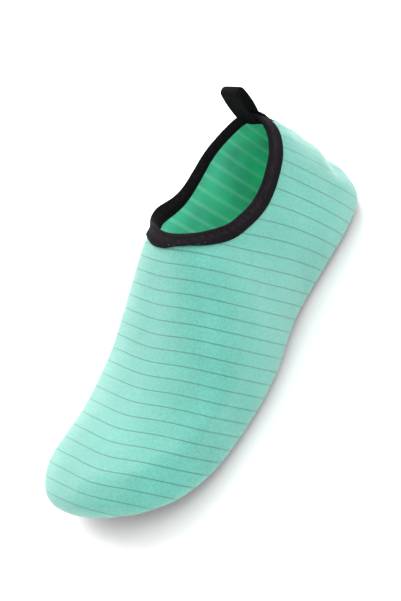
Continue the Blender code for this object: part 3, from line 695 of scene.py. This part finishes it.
# %% The knit
def knit_height(board, across, course):
    """Height of knitted legs from a count across the wales and a count of the courses."""
    wale = board.sum("FRACT", across)
    leg = board.sum("ABSOLUTE", board.sum("SUBTRACT", wale, 0.5))
    row = board.sum("FRACT", board.sum("ADD", course, board.sum("MULTIPLY", leg, 1.3)))
    round_row = board.sum("SINE", board.sum("MULTIPLY", row, math.pi))
    half_wale = board.sum("FRACT", board.sum("MULTIPLY", wale, 2.0))
    round_leg = board.sum("SINE", board.sum("MULTIPLY", half_wale, math.pi))
    return board.sum("MULTIPLY", board.sum("POWER", round_row, 0.6), board.sum("POWER", round_leg, 0.5))


board, take, give = group_named("knit_stitches", ("Place", "Course", "Wales per metre"), ("Height",))
parts = board.node("ShaderNodeSeparateXYZ")
board.feed(parts.inputs[0], take["Place"])
facing = board.node("ShaderNodeSeparateXYZ")
board.feed(facing.inputs[0], board.node("ShaderNodeNewGeometry").outputs["Normal"])
sideways = board.band(board.sum("ABSOLUTE", facing.outputs["Y"]), 0.55, 0.80)
wales = take["Wales per metre"]
on_top = knit_height(board, board.sum("MULTIPLY", parts.outputs["Y"], wales), take["Course"])
on_side = knit_height(board, board.sum("MULTIPLY", parts.outputs["Z"], wales), take["Course"])
mixed = board.sum("ADD", board.sum("MULTIPLY", on_side, sideways),
                  board.sum("MULTIPLY", on_top, board.sum("SUBTRACT", 1.0, sideways)))
board.feed(give["Height"], mixed)
knit_stitches = board.tree

# %% The stripe lines
board, take, give = group_named("stripe_lines", ("Course", "Half width"), ("Line",))
offset = board.sum("FRACT", board.sum("ADD", take["Course"], 0.5))
gap = board.sum("ABSOLUTE", board.sum("SUBTRACT", offset, 0.5))
edge = board.sum("MULTIPLY", take["Half width"], 1.9)
line = board.band(gap, board.sum("MULTIPLY", take["Half width"], 0.45), edge, 1.0, 0.0)
board.feed(give["Line"], line)
stripe_lines = board.tree

# %% The woven tape
board, take, give = group_named("woven_tape", ("Along", "Across", "Threads"), ("Height",))
warp = board.sum("MULTIPLY", take["Across"], take["Threads"])
weft = board.sum("MULTIPLY", take["Along"], take["Threads"])
odd = board.sum("MULTIPLY", board.sum("FLOOR", warp), 0.5)
thread = board.sum("SINE", board.sum("MULTIPLY", board.sum("FRACT", warp), math.pi))
passes = board.sum("FRACT", board.sum("ADD", weft, odd))
float_over = board.sum("SINE", board.sum("MULTIPLY", passes, math.pi))
board.feed(give["Height"], board.sum("MULTIPLY", board.sum("POWER", thread, 0.7),
                                     board.sum("POWER", float_over, 0.7)))
woven_tape = board.tree

# %% Soft unevenness
board, take, give = group_named("soft_cloud", ("Place", "Scale", "Detail"), ("Shade",))
clouds = board.node("ShaderNodeTexNoise")
board.feed(clouds.inputs["Vector"], take["Place"])
board.feed(clouds.inputs["Scale"], take["Scale"])
board.feed(clouds.inputs["Detail"], take["Detail"])
board.feed(give["Shade"], clouds.outputs["Fac"])
soft_cloud = board.tree
print("groups:", [group.name for group in bpy.data.node_groups])

# %% [markdown]
# ## Materials
#
# The colours are those of a mint jersey with a soft pale sheen at grazing angles and painted shade in the
# knit's hollows, a deeper green lining, black tapes with a faint warm painted sheen along the middle of the
# rim's tape and painted highlights on raised threads, partly wear on the heel webbing, and charcoal rubber.

# %% A material and its board


def material_for(name, roughness, sheen=0.0, sheen_tint=(1, 1, 1), sheen_roughness=0.4, specular=0.3):
    """A material with its plain values on the shader's own sockets."""
    made = bpy.data.materials.new(name)
    made.use_nodes = True
    board = Board(made.node_tree)
    shader = made.node_tree.nodes["Principled BSDF"]
    shader.inputs["Roughness"].default_value = roughness
    shader.inputs["Specular IOR Level"].default_value = specular
    shader.inputs["Sheen Weight"].default_value = sheen
    shader.inputs["Sheen Roughness"].default_value = sheen_roughness
    shader.inputs["Sheen Tint"].default_value = (*sheen_tint, 1)
    return made, board, shader


def kept(board, name):
    """A number that the piece keeps at its corners."""
    return board.node("ShaderNodeAttribute", attribute_name=name).outputs["Fac"]


def object_place(board):
    """The place on the piece, in metres."""
    return board.node("ShaderNodeTexCoord").outputs["Object"]


def cloud(board, scale, detail=3.0):
    """Soft unevenness between 0 and 1."""
    return placed(board, soft_cloud, place=object_place(board), scale=scale, detail=detail)["Shade"]


def raised(board, shader, height, distance, strength=1.0):
    """Relief from a height between 0 and 1."""
    bump = board.node("ShaderNodeBump")
    bump.inputs["Strength"].default_value = strength
    bump.inputs["Distance"].default_value = distance
    board.feed(bump.inputs["Height"], height)
    board.feed(shader.inputs["Normal"], bump.outputs["Normal"])


# %% Mint knit, outside
MINT = (0.112, 0.452, 0.372, 1)
MINT_DEEP = (0.076, 0.352, 0.283, 1)
MINT_LINE = (0.024, 0.185, 0.150, 1)
KNIT_ROWS = 14.0
KNIT_WALES = 1450.0
MINT_STRIPE, MINT_STRIPE_SHARE = 0.036, 0.72
MINT_PATCHES, MINT_GRAIN = 38.0, 850.0
MINT_RELIEF = 0.28 * MM

mint, board, shader = material_for("mint_knit", 0.52, sheen=0.55, sheen_tint=(0.94, 1.0, 0.99),
                                   sheen_roughness=0.42, specular=0.55)
course = kept(board, "course")
knit = placed(board, knit_stitches, place=object_place(board),
              course=board.sum("MULTIPLY", course, KNIT_ROWS), wales_per_metre=KNIT_WALES)
line = placed(board, stripe_lines, course=course, half_width=MINT_STRIPE)["Line"]
patches = board.band(cloud(board, MINT_PATCHES, 2.0), 0.30, 0.70)
grain = board.band(cloud(board, MINT_GRAIN, 2.0), 0.32, 0.68)
uneven = board.sum("ADD", board.sum("MULTIPLY", patches, 0.35), board.sum("MULTIPLY", grain, 0.65))
cloth = board.blend(uneven, MINT_DEEP, MINT)
# Painted shade: the low parts of the knit between its legs are darkened toward the line colour.
hollow_shade = board.sum("MULTIPLY", board.sum("SUBTRACT", 1.0, knit["Height"]), 0.22)
cloth = board.blend(hollow_shade, cloth, MINT_LINE)
stripe = board.sum("MULTIPLY", line, MINT_STRIPE_SHARE)
board.feed(shader.inputs["Base Color"], board.blend(stripe, cloth, MINT_LINE))
sunk = board.sum("MULTIPLY", line, 0.9)
relief = board.sum("SUBTRACT", board.sum("MULTIPLY", knit["Height"], 0.45), sunk)
raised(board, shader, relief, MINT_RELIEF)

# %% Deeper green, inside
LINING = (0.112, 0.720, 0.530, 1)
LINING_DEEP = (0.088, 0.630, 0.460, 1)
LINING_PALE = (0.270, 0.800, 0.670, 1)
LINING_STRIPE, LINING_STRIPE_SHARE = 0.115, 0.62
LINING_PATCHES = 60.0
LINING_RELIEF = 0.16 * MM
LIGHT_THROUGH = 1.8 * MM

lining, board, shader = material_for("green_lining", 0.88, sheen=0.20, sheen_tint=(0.7, 1.0, 0.85),
                                     specular=0.2)
shader.inputs["Subsurface Weight"].default_value = 0.85
shader.inputs["Subsurface Radius"].default_value = (0.7, 1.0, 0.85)
shader.inputs["Subsurface Scale"].default_value = LIGHT_THROUGH
course = kept(board, "course")
knit = placed(board, knit_stitches, place=object_place(board),
              course=board.sum("MULTIPLY", course, KNIT_ROWS), wales_per_metre=KNIT_WALES)
line = placed(board, stripe_lines, course=course, half_width=LINING_STRIPE)["Line"]
cloth = board.blend(board.band(cloud(board, LINING_PATCHES), 0.3, 0.7), LINING_DEEP, LINING)
stripe = board.sum("MULTIPLY", line, LINING_STRIPE_SHARE)
board.feed(shader.inputs["Base Color"], board.blend(stripe, cloth, LINING_PALE))
raised(board, shader, knit["Height"], LINING_RELIEF)

# %% Black binding of the rim
RIM_BLACK = (0.0030, 0.0044, 0.0054, 1)
RIM_SHEEN = (0.0230, 0.0140, 0.0180, 1)
RIM_THREADS = 1.35
RIM_FLECKS = 700.0
RIM_RELIEF = 0.22 * MM

rim_cloth, board, shader = material_for("rim_weave", 0.90, sheen=0.015, sheen_tint=(0.75, 0.70, 0.80),
                                        specular=0.06)
run = kept(board, "run")
below = kept(board, "below")
weave = placed(board, woven_tape, along=run, across=below, threads=RIM_THREADS)["Height"]
# Painted sheen: the middle of each face of the tape is made warmer and lighter in flecks, and its raised
# threads lighter, a painted highlight.
middle = board.sum("MULTIPLY", board.band(below, 0.8, 2.2), board.band(below, 3.6, 5.2, 1.0, 0.0))
sheen_and_wear = board.sum("MULTIPLY", middle, board.band(cloud(board, RIM_FLECKS), 0.35, 0.65))
rim_sheen = board.sum("ADD", board.sum("MULTIPLY", sheen_and_wear, 0.65), board.sum("MULTIPLY", weave, 0.30), clamp=True)
board.feed(shader.inputs["Base Color"], board.blend(rim_sheen, RIM_BLACK, RIM_SHEEN))
raised(board, shader, weave, RIM_RELIEF)

# %% Black webbing of the heel and the loop
WEB_BLACK = (0.0018, 0.0024, 0.0028, 1)
WEB_GREY = (0.0090, 0.0105, 0.0115, 1)
WEB_THREADS = 1050.0
WEB_FLECKS = 500.0
WEB_RELIEF = 0.30 * MM

web_cloth, board, shader = material_for("webbing_weave", 0.90, sheen=0.01, sheen_tint=(0.8, 0.85, 0.9),
                                        specular=0.05)
parts = board.node("ShaderNodeSeparateXYZ")
board.feed(parts.inputs[0], object_place(board))
along = board.sum("ADD", parts.outputs["Z"], board.sum("MULTIPLY", parts.outputs["X"], 0.35))
weave = placed(board, woven_tape, along=along, across=parts.outputs["Y"], threads=WEB_THREADS)["Height"]
# Raised threads lighter grey in patches: partly wear, partly a painted highlight on the thread tops.
sheen_and_wear = board.sum("MULTIPLY", weave, board.band(cloud(board, WEB_FLECKS), 0.2, 0.8))
board.feed(shader.inputs["Base Color"], board.blend(sheen_and_wear, WEB_BLACK, WEB_GREY))
raised(board, shader, weave, WEB_RELIEF)

# %% Black thread
THREAD = (0.010, 0.010, 0.012, 1)
THREAD_PALE = (0.034, 0.033, 0.036, 1)
TWIST_SCALE = 900.0
TWIST_RELIEF = 0.10 * MM

thread, board, shader = material_for("black_thread", 0.62, sheen=0.05, specular=0.3)
twist = board.node("ShaderNodeTexWave", wave_type="BANDS", bands_direction="DIAGONAL")
twist.inputs["Scale"].default_value = TWIST_SCALE
board.feed(twist.inputs["Vector"], object_place(board))
board.feed(shader.inputs["Base Color"], board.blend(twist.outputs["Fac"], THREAD, THREAD_PALE))
raised(board, shader, twist.outputs["Fac"], TWIST_RELIEF)

# %% Charcoal rubber
RUBBER = (0.031, 0.033, 0.039, 1)
RUBBER_WORN = (0.072, 0.074, 0.080, 1)
CELL_SCALE = 620.0
WEAR_PATCHES, DUST_PATCHES, GLOSS_PATCHES = 120.0, 60.0, 160.0
RUBBER_RELIEF = 0.08 * MM

rubber, board, shader = material_for("charcoal_rubber", 0.52, specular=0.42)
cells = board.node("ShaderNodeTexVoronoi", feature="DISTANCE_TO_EDGE")
cells.inputs["Scale"].default_value = CELL_SCALE
board.feed(cells.inputs["Vector"], object_place(board))
scales = board.band(cells.outputs["Distance"], 0.0, 0.18)
sharpness = board.node("ShaderNodeNewGeometry").outputs["Pointiness"]
patchy = board.band(cloud(board, WEAR_PATCHES), 0.35, 0.65)
rubbed = board.sum("MULTIPLY", board.band(sharpness, 0.51, 0.60), patchy)
dusty = board.sum("MULTIPLY", cloud(board, DUST_PATCHES), 0.12)
shade = board.sum("ADD", board.sum("MULTIPLY", rubbed, 0.7), dusty)
board.feed(shader.inputs["Base Color"], board.blend(shade, RUBBER, RUBBER_WORN))
board.feed(shader.inputs["Roughness"], board.band(cloud(board, GLOSS_PATCHES), 0.3, 0.7, 0.46, 0.66))
raised(board, shader, scales, RUBBER_RELIEF)

# %% Grey insole cloth
INSOLE_GREY = (0.085, 0.095, 0.100, 1)
INSOLE_DARK = (0.035, 0.040, 0.043, 1)
HOLE_SCALE = 300.0
HOLE_DISORDER = 0.15
HOLE_RELIEF = 0.30 * MM

insole_cloth, board, shader = material_for("insole_mesh", 0.88, sheen=0.15, specular=0.2)
holes = board.node("ShaderNodeTexVoronoi", feature="F1")
holes.inputs["Scale"].default_value = HOLE_SCALE
holes.inputs["Randomness"].default_value = HOLE_DISORDER
board.feed(holes.inputs["Vector"], object_place(board))
web = board.band(holes.outputs["Distance"], 0.18, 0.34)
board.feed(shader.inputs["Base Color"], board.blend(web, INSOLE_DARK, INSOLE_GREY))
raised(board, shader, web, HOLE_RELIEF)

# %% [markdown]
# ## Dress the pieces
#
# Each new piece takes its material, rides on the shoe's one body and stands for its solid. The insole keeps
# its solid and takes a better cloth.

# %% Put the materials on
for piece, cloths in ((upper, (mint, lining)), (rim, (rim_cloth,)), (webbing, (web_cloth,)),
                      (outsole, (rubber,)), (rim_stitches, (thread,)), (webbing_stitches, (thread,))):
    piece.data.materials.clear()
    for cloth in cloths:
        piece.data.materials.append(cloth)
    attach(piece, "root")
for face, inner in zip(upper.data.polygons, looks_in):
    face.material_index = int(inner)
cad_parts["insole"].material_slots[0].material = insole_cloth
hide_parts("upper")
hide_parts("collar_binding")
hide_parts("pull_tape")
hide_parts("outsole")

# %% [markdown]
# ## Floor, light and camera
#
# A pale floor and large soft lights, as in a light tent: one above the inner side, which leaves a bright
# band along it, and one above the outer front, which fills the shoe through the collar. The camera looks
# down at the outer front of the shoe and is rolled, so that the toe points to the lower left.

# %% Floor
PAPER_WHITE = (0.93, 0.93, 0.93, 1)
FLOOR_SIZE = 8.0

pick()
bpy.ops.mesh.primitive_plane_add(size=FLOOR_SIZE, location=(0, 0, 0))
floor = bpy.context.object
floor.name = "pale_floor"
floor_paper, board, shader = material_for("pale_paper", 0.9, specular=0.1)
shader.inputs["Base Color"].default_value = PAPER_WHITE
floor.data.materials.append(floor_paper)

# %% Lights
TENT_STRENGTH = 0.98
LIGHT_AIM = Vector((0, 0, 0.03))

world = bpy.data.worlds.new("light_tent")
world.use_nodes = True
world.node_tree.nodes["Background"].inputs["Color"].default_value = (1.0, 1.0, 1.0, 1)
world.node_tree.nodes["Background"].inputs["Strength"].default_value = TENT_STRENGTH
bpy.context.scene.world = world


def soft_light(name, way, distance, size, power):
    """A square light that looks at the shoe from a direction."""
    way = Vector(way).normalized()
    lamp = bpy.data.lights.new(name, "AREA")
    lamp.size = size
    lamp.energy = power
    made = bpy.data.objects.new(name, lamp)
    turn = way.to_track_quat("Z", "Y").to_matrix().to_4x4()
    made.matrix_world = Matrix.Translation(way * distance + LIGHT_AIM) @ turn
    bpy.context.scene.collection.objects.link(made)
    return made


soft_light("tent_inner", (-0.40, -0.68, 0.66), 1.6, 1.9, 54.0)
soft_light("tent_front", (0.20, 0.78, 0.62), 1.8, 1.6, 18.0)

# %% Camera
SHOE_MIDDLE = Vector((0.00065, -0.00191, 0.035))
VIEW = Vector((0.4390, 0.6660, 0.6031)).normalized()
PICTURE_RIGHT = Vector((-0.48568, 0.74058, -0.46439)).normalized()
PICTURE_UP = VIEW.cross(PICTURE_RIGHT).normalized()
CAMERA_DISTANCE = 1.129
PICTURE_HEIGHT = 601.0
FOCAL_PIXELS = 1578.0
SHIFT_PIXELS = (4.0, 8.0)
SENSOR = 36.0
ZOOM = 1.38

eye = bpy.data.cameras.new("picture_camera")
camera = bpy.data.objects.new("picture_camera", eye)
camera.matrix_world = Matrix.Translation(SHOE_MIDDLE + VIEW * CAMERA_DISTANCE) @ Matrix(
    (PICTURE_RIGHT, PICTURE_UP, VIEW)).transposed().to_4x4()
eye.sensor_fit = "AUTO"
eye.sensor_width = SENSOR
eye.lens = FOCAL_PIXELS / PICTURE_HEIGHT * SENSOR * ZOOM
eye.shift_x = SHIFT_PIXELS[0] / PICTURE_HEIGHT * ZOOM
eye.shift_y = SHIFT_PIXELS[1] / PICTURE_HEIGHT * ZOOM
eye.clip_start = 0.05
bpy.context.scene.collection.objects.link(camera)
bpy.context.scene.camera = camera
bpy.context.scene.view_settings.view_transform = "Standard"
bpy.context.scene.view_settings.look = "None"
